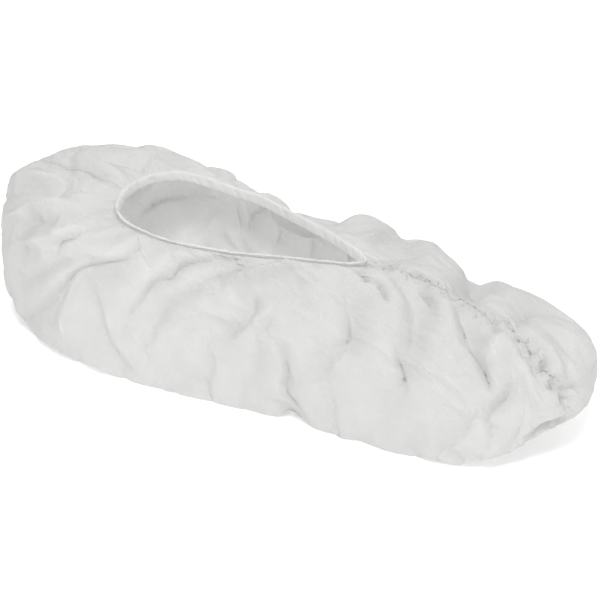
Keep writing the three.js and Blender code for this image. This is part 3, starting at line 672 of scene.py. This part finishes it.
def laminate(settings):
    """Microporous film laminated to spunbond polypropylene: matt white, soft sheen, embossed."""
    material, tree, out = blank_material("film_laminated_spunbond")
    uv = add_node(tree, "ShaderNodeUVMap", uv_map="cut").outputs["UV"]
    place = add_node(tree, "ShaderNodeTexCoord").outputs["Object"]
    # diamonds pressed by the bonding roller, turned 45 degrees to the cut
    turned = add_node(tree, "ShaderNodeMapping", {
        "Vector": uv, "Rotation": (0, 0, math.radians(45)), "Scale": (1 / MM, 1 / MM, 1 / MM)})
    parts = add_node(tree, "ShaderNodeSeparateXYZ", {"Vector": turned.outputs["Vector"]})
    waves = []
    for axis in "XY":
        scaled = add_node(tree, "ShaderNodeMath", {
            0: parts.outputs[axis], 1: 2 * math.pi / EMBOSS_SPACING}, operation="MULTIPLY")
        waves.append(add_node(tree, "ShaderNodeMath", {0: scaled.outputs[0]}, operation="SINE"))
    diamonds = add_node(tree, "ShaderNodeMath", {0: waves[0].outputs[0], 1: waves[1].outputs[0]},
                        operation="MULTIPLY")
    # spunbond filaments lie every way under the film: noise of about 1 mm, far coarser than
    # they are, so that it shows
    fibres = add_node(tree, "ShaderNodeTexNoise", {
        "Vector": place, "Scale": 900, "Detail": 3, "Roughness": 0.6})
    # the film keeps small crisp crinkles, about 8 mm across
    crinkle = add_node(tree, "ShaderNodeTexNoise", {
        "Vector": place, "Scale": 120, "Detail": 4, "Roughness": 0.5, "Lacunarity": 2.1,
        "Offset": 0.9, "Gain": 1.6}, noise_type="RIDGED_MULTIFRACTAL")
    relief = add_node(tree, "ShaderNodeMath", {
        0: diamonds.outputs[0], 1: 0.6, 2: fibres.outputs["Fac"]}, operation="MULTIPLY_ADD")
    bump = add_node(tree, "ShaderNodeBump", {
        "Strength": 0.75, "Distance": 0.0002, "Height": relief.outputs[0]})
    soft = add_node(tree, "ShaderNodeBump", {
        "Strength": 0.35, "Distance": 0.0004, "Height": crinkle.outputs["Fac"],
        "Normal": bump.outputs["Normal"]})
    # beside the thread the cloth is drawn into beads of about 2 mm, and the pits between them are darkened
    # with painted shade
    drawn = add_node(tree, "ShaderNodeAttribute", attribute_name="drawn").outputs["Fac"]
    beads = add_node(tree, "ShaderNodeTexNoise", {
        "Vector": place, "Scale": 430, "Detail": 2, "Roughness": 0.5})
    depth = add_node(tree, "ShaderNodeMath", {0: beads.outputs["Fac"], 1: drawn}, operation="MULTIPLY")
    puckered = add_node(tree, "ShaderNodeBump", {
        "Strength": 0.6, "Distance": 0.0007, "Height": depth.outputs[0], "Normal": soft.outputs["Normal"]})
    pit_shade_mask = add_node(tree, "ShaderNodeMapRange", {
        "Value": beads.outputs["Fac"], "From Min": 0.32, "From Max": 0.42, "To Min": 1, "To Max": 0})
    shadow = add_node(tree, "ShaderNodeMath", {0: pit_shade_mask.outputs["Result"], 1: drawn}, operation="MULTIPLY")
    # laminate is mottled where the web is thinner, in patches of about 14 mm
    mottle = add_node(tree, "ShaderNodeTexNoise", {
        "Vector": place, "Scale": 70, "Detail": 6, "Roughness": 0.65})
    colour = add_node(tree, "ShaderNodeMix", {
        "Factor": mottle.outputs["Fac"], "A": srgb(settings.cloth_shade), "B": srgb(settings.cloth_light)},
        data_type="RGBA")
    # painted shade: the colour is darkened in the pits between the beads, as far as the thread draws the
    # cloth
    colour = add_node(tree, "ShaderNodeMix", {
        "Factor": shadow.outputs[0], "A": colour.outputs["Result"], "B": srgb(PAINTED_PIT_SHADE)},
        data_type="RGBA")
    shine = add_node(tree, "ShaderNodeMapRange", {
        "Value": mottle.outputs["Fac"], "To Min": 0.46, "To Max": 0.60})
    shader = add_node(tree, "ShaderNodeBsdfPrincipled", {
        "Base Color": colour.outputs["Result"], "Roughness": shine.outputs["Result"], "IOR": 1.49,
        "Normal": puckered.outputs["Normal"], "Sheen Weight": 0.15, "Sheen Roughness": 0.5})
    # thin white polymer scatters much of the light through to its other face
    glow = add_node(tree, "ShaderNodeBsdfTranslucent", {
        "Color": colour.outputs["Result"], "Normal": puckered.outputs["Normal"]})
    both = add_node(tree, "ShaderNodeMixShader", {
        0: 0.6, 1: shader.outputs["BSDF"], 2: glow.outputs["BSDF"]})
    tree.links.new(both.outputs["Shader"], out.inputs["Surface"])
    return material


def plain_cloth(name, low, high, rough, through):
    """White laminate folded over itself; through is the share of light its layers let past."""
    material, tree, out = blank_material(name)
    place = add_node(tree, "ShaderNodeTexCoord").outputs["Object"]
    # the web's grain, drawn about 1.5 mm coarse so that it shows
    noise = add_node(tree, "ShaderNodeTexNoise", {"Vector": place, "Scale": 700, "Detail": 4})
    colour = add_node(tree, "ShaderNodeMix", {
        "Factor": noise.outputs["Fac"], "A": srgb(low), "B": srgb(high)}, data_type="RGBA")
    bump = add_node(tree, "ShaderNodeBump", {
        "Strength": 0.5, "Distance": 0.0002, "Height": noise.outputs["Fac"]})
    shader = add_node(tree, "ShaderNodeBsdfPrincipled", {
        "Base Color": colour.outputs["Result"], "Roughness": rough, "IOR": 1.49,
        "Normal": bump.outputs["Normal"]})
    glow = add_node(tree, "ShaderNodeBsdfTranslucent", {"Color": colour.outputs["Result"]})
    both = add_node(tree, "ShaderNodeMixShader", {
        0: through, 1: shader.outputs["BSDF"], 2: glow.outputs["BSDF"]})
    tree.links.new(both.outputs["Shader"], out.inputs["Surface"])
    return material


# ---------------------------------------------------------------------------------------
# Settings


class ShoeCoverCloth(bpy.types.PropertyGroup):
    wall: bpy.props.FloatProperty(
        name="Cloth thickness", description="Wall given to each panel", default=0.0006,
        unit="LENGTH", precision=5)
    crumple: bpy.props.FloatProperty(
        name="Crumple", description="Share by which Cloth grows the panels", default=0.05,
        subtype="FACTOR", min=0, max=0.2)
    hold: bpy.props.FloatProperty(
        name="Hold", description="How firmly the creased form holds the cloth as it crumples",
        default=0.12, subtype="FACTOR", min=0, max=1)
    most_move: bpy.props.FloatProperty(
        name="Most movement", description="Cap on how far crumpling moves a point",
        default=0.004, unit="LENGTH")
    facets: bpy.props.FloatProperty(
        name="Facets", description="Height of the small flat facets crushed into the film", default=0.45,
        subtype="FACTOR", min=0, max=3)
    gathers: bpy.props.FloatProperty(
        name="Gathers", description="Height of the gathers under the opening", default=1,
        subtype="FACTOR", min=0, max=3)
    puckers: bpy.props.FloatProperty(
        name="Puckers", description="Height of the puckers along the joints", default=1,
        subtype="FACTOR", min=0, max=3)
    cloth_light: bpy.props.StringProperty(
        name="Cloth, light", description="sRGB colour of the thicker web", default="#F9F9F8")
    cloth_shade: bpy.props.StringProperty(
        name="Cloth, shade", description="sRGB colour of the thinner web", default="#F1F1F1")


class ShoeCoverHem(bpy.types.PropertyGroup):
    colour: bpy.props.StringProperty(
        name="Hem", description="sRGB colour of the gathered hem", default="#FAFAF9")
    thread: bpy.props.StringProperty(
        name="Thread", description="sRGB colour of the thread", default="#F3F3F2")
    stitch: bpy.props.FloatProperty(
        name="Stitch length", description="Length of one stitch", default=0.003, unit="LENGTH")


class ShoeCoverStudio(bpy.types.PropertyGroup):
    azimuth: bpy.props.FloatProperty(
        name="Camera azimuth", description="Turn of the camera to the right", default=math.radians(26),
        subtype="ANGLE")
    elevation: bpy.props.FloatProperty(
        name="Camera elevation", description="Height of the camera", default=math.radians(30),
        subtype="ANGLE")
    distance: bpy.props.FloatProperty(
        name="Camera distance", description="From the camera to its aim", default=1.1, unit="LENGTH")
    lens: bpy.props.FloatProperty(
        name="Lens", description="Focal length on a 36 mm sensor", default=114.8, unit="CAMERA")
    backdrop: bpy.props.StringProperty(
        name="Floor", description="sRGB colour of the floor", default="#FFFFFF")


# ---------------------------------------------------------------------------------------
# Pieces


def panel_columns(right):
    """The ring's columns of one panel, from joint to joint."""
    if right:
        return np.arange(VAMP, COLUMNS_ROUND + 1) % COLUMNS_ROUND
    return np.arange(0, VAMP + 1)


def part_joint(points, gap):
    """Moves the panel's two joint columns off the joints by half the gap."""
    points = points.copy()
    for edge, inner in ((0, 1), (-1, -2)):
        points[edge] += unit_length(points[inner] - points[edge]) * gap / 2
    return points


def unwrap(points):
    """Flat cut of a panel in metres, by least stretch on a coarse grid, spread onto the fine one."""
    columns, rows = every(len(points), CUT_STEP_ROUND), every(points.shape[1], CUT_STEP_DOWN)
    coarse = points[np.ix_(columns, rows)]
    index = np.arange(coarse.shape[0] * coarse.shape[1]).reshape(coarse.shape[:2])
    faces = np.stack((index[:-1, :-1], index[1:, :-1], index[1:, 1:], index[:-1, 1:]), -1).reshape(-1, 4)
    piece = new_piece("cut", coarse, faces.tolist())
    mesh = piece.data
    mesh.uv_layers.new(name="cut")
    edit_whole(bpy.ops.uv.unwrap, method="MINIMUM_STRETCH", margin=0)
    flat = np.empty(len(mesh.loops) * 2)
    mesh.uv_layers["cut"].data.foreach_get("uv", flat)
    places = np.zeros((len(mesh.vertices), 2))
    places[corner_vertices(mesh)] = flat.reshape(-1, 2)
    bpy.data.objects.remove(piece, do_unlink=True)
    # the unwrap has no scale of its own, so its area is brought to the true one
    a, b, c, d = (places[faces[:, n]] for n in range(4))
    one, other = c - a, d - b
    flat_area = np.abs(one[:, 0] * other[:, 1] - one[:, 1] * other[:, 0]).sum() / 2
    a, b, c, d = (coarse.reshape(-1, 3)[faces[:, n]] * MM for n in range(4))
    true_area = np.linalg.norm(np.cross(c - a, d - b), axis=-1).sum() / 2
    places = places.reshape(*coarse.shape[:2], 2) * math.sqrt(true_area / flat_area)
    places -= places.reshape(-1, 2).min(0)
    places = filled_in(filled_in(places, columns, len(points), 0), rows, points.shape[1], 1)
    return places, true_area


def normals_point_out(mesh, points):
    """Whether most of a panel's four-cornered faces look away from the middle of the cover."""
    middle = points.reshape(-1, 3).mean(0) * MM
    middle[1] = 0
    corners = corner_vertices(mesh).reshape(-1, 4)
    a, b, c, d = (coordinates(mesh)[corners[:, n]] for n in range(4))
    return (np.cross(c - a, d - b) * ((a + b + c + d) / 4 - middle)).sum() > 0


def cloth_panel(name, points, drawn, flat, settings, material):
    """Lays a flat grid over the ring's points, keeps its flat cut as UVs, and thickens it."""
    columns, rows = points.shape[:2]
    deselect_all()
    bpy.ops.mesh.primitive_grid_add(
        x_subdivisions=columns - 1, y_subdivisions=rows - 1, size=1, calc_uvs=True)
    piece = bpy.context.object
    piece.name = piece.data.name = name
    mesh = piece.data
    spot = coordinates(mesh)
    column = np.rint((spot[:, 0] + 0.5) * (columns - 1)).astype(int)
    row = np.rint((spot[:, 1] + 0.5) * (rows - 1)).astype(int)
    set_coordinates(mesh, points[column, row] * MM)
    layer = mesh.uv_layers[0]
    layer.name = "cut"
    corners = corner_vertices(mesh)
    layer.data.foreach_set("uv", flat[column[corners], row[corners]].ravel())
    mesh.attributes.new("drawn", "FLOAT", "POINT").data.foreach_set("value", drawn[column, row])
    make_active(piece)
    if not normals_point_out(mesh, points):
        edit_whole(bpy.ops.mesh.flip_normals)
    wall = piece.modifiers.new("wall", "SOLIDIFY")
    wall.thickness = settings.wall
    wall.offset = -1
    bpy.ops.object.modifier_apply(modifier=wall.name)
    spot = coordinates(mesh)
    spot[:, 2] = np.maximum(spot[:, 2], FLOOR_GAP)
    set_coordinates(mesh, spot)
    bpy.ops.object.shade_smooth_by_angle(angle=math.radians(60))
    mesh.materials.clear()
    mesh.materials.append(material)
    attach(piece, "root")
    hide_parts(name.replace("_cloth", "_panel"))
    return piece


def thread_finish(settings):
    """Textured polyester thread: dull, with the twist of its plies about 1 mm apart."""
    material, tree, out = blank_material("textured_polyester_thread")
    place = add_node(tree, "ShaderNodeTexCoord").outputs["Object"]
    plies = add_node(tree, "ShaderNodeTexWave", {
        "Vector": place, "Scale": 700, "Distortion": 4, "Detail": 2}, bands_direction="DIAGONAL")
    fuzz = add_node(tree, "ShaderNodeTexNoise", {"Vector": place, "Scale": 2500, "Detail": 2})
    colour = add_node(tree, "ShaderNodeMix", {
        "Factor": fuzz.outputs["Fac"], "A": srgb(THREAD_SHADE), "B": srgb(settings.thread)},
        data_type="RGBA")
    bump = add_node(tree, "ShaderNodeBump", {
        "Strength": 0.4, "Distance": 0.0001, "Height": plies.outputs["Fac"]})
    shader = add_node(tree, "ShaderNodeBsdfPrincipled", {
        "Base Color": colour.outputs["Result"], "Roughness": 0.55, "IOR": 1.55,
        "Normal": bump.outputs["Normal"]})
    tree.links.new(shader.outputs["BSDF"], out.inputs["Surface"])
    return material


def one_stitch():
    """One stitch lying along X, a unit long: a strand whose ends are drawn in."""
    deselect_all()
    bpy.ops.mesh.primitive_cylinder_add(
        vertices=6, radius=STRAND_RADIUS, depth=STITCH_BODY, end_fill_type="NGON",
        rotation=(0, math.pi / 2, 0))
    piece = bpy.context.object
    piece.name = "stitch"
    bpy.ops.object.transform_apply(location=True, rotation=True, scale=True)
    for way in (-1, 1):
        bpy.ops.object.mode_set(mode="EDIT")
        bpy.ops.mesh.select_all(action="DESELECT")
        bpy.ops.object.mode_set(mode="OBJECT")
        for face in piece.data.polygons:
            face.select = face.normal.x * way > 0.9
        bpy.ops.object.mode_set(mode="EDIT")
        bpy.ops.mesh.select_mode(type="FACE")
        bpy.ops.mesh.extrude_region_move(TRANSFORM_OT_translate={"value": (STITCH_END * way, 0, 0)})
        bpy.ops.transform.resize(value=(1, 0.5, 0.5), center_override=(0.5 * way, 0, 0))
        bpy.ops.object.mode_set(mode="OBJECT")
    return piece


def sew(name, pattern, stitches, arch, material):
    """Copies the stitch from a to b (mm) for each (a, b, out), arched outwards, as one piece."""
    unit = coordinates(pattern.data)
    copies = []
    for a, b, out in stitches:
        along = (b - a) * MM
        size = np.linalg.norm(along)
        if size < 1e-5:
            continue
        out = out / max(np.linalg.norm(out), 1e-9)
        side = np.cross(out, along / size)
        side /= max(np.linalg.norm(side), 1e-9)
        lift = np.cross(along / size, side)
        mesh = pattern.data.copy()
        rise = arch * MM * (1 - (2 * unit[:, :1])**2)
        set_coordinates(mesh, (a + b) / 2 * MM + unit[:, :1] * along + unit[:, 1:2] * side
                        + (unit[:, 2:] + rise) * lift)
        copy = bpy.data.objects.new(name, mesh)
        bpy.context.scene.collection.objects.link(copy)
        copies.append(copy)
    deselect_all()
    for copy in copies:
        copy.select_set(True)
    bpy.context.view_layer.objects.active = copies[0]
    bpy.ops.object.join()
    piece = bpy.context.object
    piece.name = piece.data.name = name
    bpy.ops.object.shade_smooth()
    piece.data.materials.clear()
    piece.data.materials.append(material)
    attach(piece, "root")
    return piece


RING = {}  # the shaped ring, made once by the panels and followed by every other piece


class PanelsOperator(bpy.types.Operator):
    """Cut, drape, crease and crumple the two cloth panels"""
    bl_idname = "shoe_cover.panels"
    bl_label = "Cloth panels"

    def execute(self, context):
        settings = context.scene.shoe_cover_cloth
        ring = shaped_ring(settings)
        RING["points"] = ring
        material = laminate(settings)
        plain = form(*np.meshgrid(AROUND, DOWN, indexing="ij"))
        for name, right in (("right_cloth", True), ("left_cloth", False)):
            columns = panel_columns(right)
            points = part_joint(ring[columns], JOINT_GAP)
            flat, area = unwrap(plain[columns])
            piece = cloth_panel(name, points, RING["drawn"][columns], flat, settings, material)
            RING[name] = (piece, flat.reshape(-1, 2).max(0), area)
        return {"FINISHED"}


class HemOperator(bpy.types.Operator):
    """Make the gathered elastic hem round the opening"""
    bl_idname = "shoe_cover.hem"
    bl_label = "Elastic hem"

    def execute(self, context):
        settings = context.scene.shoe_cover_hem
        rim = RING["points"][:, 0]
        count = COLUMNS_ROUND
        along = unit_length(np.roll(rim, -1, 0) - np.roll(rim, 1, 0))
        # even out the course, which the gathers have shaken
        course = rim.copy()
        for _ in range(HEM_SMOOTHING):
            course = (np.roll(course, 1, 0) + np.roll(course, -1, 0) + 2 * course) / 4
        inward = unit_length(stacked(along[:, 1], -along[:, 0], 0 * along[:, 0]))
        if ((rim.mean(0) - rim) * inward).sum() < 0:
            inward = -inward
        run = arc_lengths(np.concatenate((course, course[:1])), 0)
        whole, run = run[-1], run[:-1]
        crinkles, waves = int(whole / HEM_CRINKLE), int(whole / HEM_WAVE)
        # along the right side the hem is rolled inwards and little of its height shows
        rolled = smooth_step(0.02, 0.12, AROUND) * (1 - smooth_step(0.66, 0.86, AROUND))
        points = np.empty((count, HEM_SIDES, 3))
        for n in range(HEM_SIDES):
            # the section is a flattened, rounded one
            turn = 2 * math.pi * n / HEM_SIDES
            x = HEM_THICKNESS / 2 * np.sign(math.cos(turn)) * abs(math.cos(turn)) ** 0.6
            z = HEM_HEIGHT / 2 * np.sign(math.sin(turn)) * abs(math.sin(turn)) ** 0.7
            crinkle = value_noise(run / whole * crinkles + z * 0.35, np.full(count, n * 0.25), 31, crinkles)
            crinkle = 0.6 - 1.6 * np.abs(crinkle)
            wave = value_noise(run / whole * waves, np.full(count, z * 0.2 + 5), 32, waves)
            swell = 1 + 0.55 * crinkle + 0.12 * wave
            lean = 1.5 - z * 0.34 + rolled * 0.6
            height = 0.7 + z * (1 - 0.45 * rolled) - 0.5 * rolled
            shaken = (0.2 * wave + 0.2 * crinkle) * (z > 0)
            points[:, n] = course + inward * (lean + x * swell)[:, None] + UP * (height + shaken)[:, None]
        index = np.arange(count * HEM_SIDES).reshape(count, HEM_SIDES)
        beside, over = np.roll(index, -1, 0), np.roll(index, -1, 1)
        faces = np.stack((index, beside, np.roll(beside, -1, 1), over), -1).reshape(-1, 4)
        piece = new_piece("elastic_hem", points, faces.tolist())
        edit_whole(bpy.ops.mesh.normals_make_consistent, inside=False)
        bpy.ops.object.shade_smooth()
        piece.data.materials.append(plain_cloth(
            "gathered_spunbond_laminate", HEM_SHADE, settings.colour, 0.6, 0.4))
        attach(piece, "root")
        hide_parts("opening_binding")
        RING["hem_points"] = points
        return {"FINISHED"}


class SeamsOperator(bpy.types.Operator):
    """Make the overlocked allowances inside the vamp, sole and heel joints"""
    bl_idname = "shoe_cover.seams"
    bl_label = "Seam allowances"

    def execute(self, context):
        points = RING["points"]
        facing = normals(points)
        courses = (
            ("vamp_allowance", "vamp_seam", points[VAMP, JOINT_ROWS], facing[VAMP, JOINT_ROWS]),
            ("heel_allowance", "heel_seam", points[HEEL, JOINT_ROWS], facing[HEEL, JOINT_ROWS]),
            ("sole_allowance", "sole_seam", points[VAMP:, -1], facing[VAMP:, -1]),
        )
        material = plain_cloth(
            "overlocked_spunbond_laminate", ALLOWANCE_SHADE, ALLOWANCE_LIGHT, 0.6, 0.25)
        for name, node, line, out in courses:
            across = unit_length(np.cross(out, unit_length(np.gradient(line, axis=0))))
            run = arc_lengths(line, 0)
            tube = np.empty((len(line), ALLOWANCE_SIDES, 3))
            for n in range(ALLOWANCE_SIDES):
                turn = 2 * math.pi * n / ALLOWANCE_SIDES
                x = ALLOWANCE_HALF_WIDTH * math.cos(turn)
                z = ALLOWANCE_HALF_THICKNESS * math.sin(turn)
                wave = value_noise(run / 5, np.full(len(run), x * 0.3), 41)
                depth = ALLOWANCE_DEPTH + ALLOWANCE_WAVE * wave + z
                tube[:, n] = line + across * x - out * depth[:, None]
            tube[..., 2] = np.maximum(tube[..., 2], ALLOWANCE_LOWEST)
            index = np.arange(len(line) * ALLOWANCE_SIDES).reshape(-1, ALLOWANCE_SIDES)
            over = np.roll(index, -1, 1)
            faces = np.stack((index[:-1], index[1:], over[1:], over[:-1]), -1).reshape(-1, 4).tolist()
            faces += [index[0].tolist(), index[-1][::-1].tolist()]
            piece = new_piece(name, tube, faces)
            edit_whole(bpy.ops.mesh.normals_make_consistent, inside=False)
            bpy.ops.object.shade_smooth_by_angle(angle=math.radians(50))
            piece.data.materials.append(material)
            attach(piece, "root")
            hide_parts(node)
        return {"FINISHED"}


class ThreadOperator(bpy.types.Operator):
    """Sew the hem and the joints: one stitch is modelled, then copied along each course"""
    bl_idname = "shoe_cover.thread"
    bl_label = "Thread"

    def execute(self, context):
        settings = context.scene.shoe_cover_hem
        points, hem = RING["points"], RING["hem_points"]
        facing = normals(points)
        material = thread_finish(settings)
        pattern = one_stitch()
        length = settings.stitch / MM
        # wraps over the hem, slanting from its foot inside to its foot outside
        wraps, chain = [], []
        run = arc_lengths(hem[:, 0], 0)
        whole = len(hem)
        middle = hem.mean(1)
        for at in np.arange(0, run[-1], length * WRAP_SPACING):
            i = int(np.searchsorted(run, at)) % whole
            for first, last in WRAPS:
                a, b = hem[i, first], hem[(i + WRAP_SLANT) % whole, last]
                wraps.append((a, b, (a + b) / 2 - middle[i]))
        # chain of stitches in the groove outside the hem
        for at in np.arange(0, run[-1], length):
            i = int(np.searchsorted(run, at)) % whole
            j = int(np.searchsorted(run, at + length * CHAIN_SHARE)) % whole
            if j > i:
                chain.append((points[i, 1], points[j, 1], facing[i, 1]))
        sew("hem_wraps", pattern, wraps, WRAP_ARCH, material)
        sew("hem_stitches", pattern, chain, CHAIN_ARCH, material)
        # ladders across the outside of the vamp and heel joints, which show, and loops round
        # each joint's allowance
        under = slice(VAMP + SOLE_THREAD_INSET, -SOLE_THREAD_INSET)
        for name, line, out in (
                ("vamp", points[VAMP, JOINT_ROWS], facing[VAMP, JOINT_ROWS]),
                ("heel", points[HEEL, JOINT_ROWS], facing[HEEL, JOINT_ROWS]),
                ("sole", points[under, -1], facing[under, -1])):
            along = unit_length(np.gradient(line, axis=0))
            across = np.cross(out, along)
            run = arc_lengths(line, 0)
            ladder, loops = [], []
            for at in np.arange(length, run[-1] - length, length):
                i = int(np.searchsorted(run, at))
                if name != "sole":
                    wide, rise = across[i] * LADDER_HALF_WIDTH, out[i] * LADDER_HEIGHT
                    a, b = line[i] - wide, line[i] + wide + along[i] * LADDER_SLANT
                    ladder.append((a + rise, b + rise, out[i]))
                inner, drop = line[i] - out[i] * LOOP_DEPTH, out[i] * LOOP_DROP
                wide, half = across[i] * LOOP_HALF_WIDTH, along[i] * LOOP_HALF_LENGTH
                a, b = inner - wide - half, inner + wide + half
                loops.append((a - drop, b - drop, -out[i]))
                loops.append((a - drop, b - 2 * half - drop, -out[i]))
            if ladder:
                sew(name + "_stitches", pattern, ladder, SEAM_ARCH, material)
            sew(name + "_overlock", pattern, loops, SEAM_ARCH, material)
        bpy.data.objects.remove(pattern, do_unlink=True)
        return {"FINISHED"}


class StudioOperator(bpy.types.Operator):
    """Set the floor, the light and the camera"""
    bl_idname = "shoe_cover.studio"
    bl_label = "Studio"

    def execute(self, context):
        settings = context.scene.shoe_cover_studio
        scene = context.scene
        deselect_all()
        bpy.ops.mesh.primitive_plane_add(size=FLOOR_SIZE)
        floor = context.object
        floor.name = "floor"
        material = bpy.data.materials.new("matt_paper")
        material.use_nodes = True
        shader = material.node_tree.nodes["Principled BSDF"]
        shader.inputs["Base Color"].default_value = srgb(settings.backdrop)
        shader.inputs["Roughness"].default_value = 0.9
        shader.inputs["Specular IOR Level"].default_value = 0.2
        # a little light of its own keeps the shadows on the floor faint
        shader.inputs["Emission Color"].default_value = (1, 1, 1, 1)
        shader.inputs["Emission Strength"].default_value = 0.3
        floor.data.materials.append(material)
        world = bpy.data.worlds.new("studio")
        scene.world = world
        world.use_nodes = True
        world.node_tree.nodes["Background"].inputs["Color"].default_value = (1, 1, 1, 1)
        world.node_tree.nodes["Background"].inputs["Strength"].default_value = 0.38
        for place, size, power in LIGHTS:
            deselect_all()
            bpy.ops.object.light_add(type="AREA", location=place)
            light = context.object
            light.data.size = size
            light.data.energy = power
            light.rotation_euler = (-Vector(place)).to_track_quat("-Z", "Y").to_euler()
        turn, tip = settings.azimuth, settings.elevation
        right = Vector((math.cos(turn), math.sin(turn), 0))
        back = Vector((math.sin(turn) * math.cos(tip), -math.cos(turn) * math.cos(tip), math.sin(tip)))
        up = back.cross(right)
        aim = Vector((AIM_X, 0, 0)) - right * AIM_LEFT + up * AIM_RAISED
        data = bpy.data.cameras.new("camera")
        data.lens = settings.lens
        data.sensor_width = 36
        data.clip_start, data.clip_end = 0.01, 20
        camera = bpy.data.objects.new("camera", data)
        scene.collection.objects.link(camera)
        facing = Matrix((right, up, back)).transposed().to_4x4()
        camera.matrix_world = Matrix.Translation(aim + back * settings.distance) @ facing
        scene.camera = camera
        scene.view_settings.view_transform = "Standard"
        return {"FINISHED"}


class ShoeCoverPanel(bpy.types.Panel):
    """Lists the steps and the sizes"""
    bl_idname = "VIEW3D_PT_shoe_cover"
    bl_label = "Shoe cover"
    bl_space_type = "VIEW_3D"
    bl_region_type = "UI"
    bl_category = "Shoe cover"

    def draw(self, context):
        for step in STEPS:
            self.layout.operator(step.bl_idname)
        for group in (context.scene.shoe_cover_cloth, context.scene.shoe_cover_hem,
                      context.scene.shoe_cover_studio):
            for name in group.bl_rna.properties.keys():
                if name not in ("rna_type", "name"):
                    self.layout.prop(group, name)


STEPS = (PanelsOperator, HemOperator, SeamsOperator, ThreadOperator, StudioOperator)
GROUPS = {"shoe_cover_cloth": ShoeCoverCloth, "shoe_cover_hem": ShoeCoverHem,
          "shoe_cover_studio": ShoeCoverStudio}


def register():
    for kind in (*GROUPS.values(), *STEPS, ShoeCoverPanel):
        bpy.utils.register_class(kind)
    for name, kind in GROUPS.items():
        setattr(bpy.types.Scene, name, bpy.props.PointerProperty(type=kind))


def unregister():
    for name in GROUPS:
        delattr(bpy.types.Scene, name)
    for kind in reversed((*GROUPS.values(), *STEPS, ShoeCoverPanel)):
        bpy.utils.unregister_class(kind)


def main():
    register()
    bpy.ops.shoe_cover.panels()
    bpy.ops.shoe_cover.hem()
    bpy.ops.shoe_cover.seams()
    bpy.ops.shoe_cover.thread()
    bpy.ops.shoe_cover.studio()


if __name__ == "__main__":
    main()
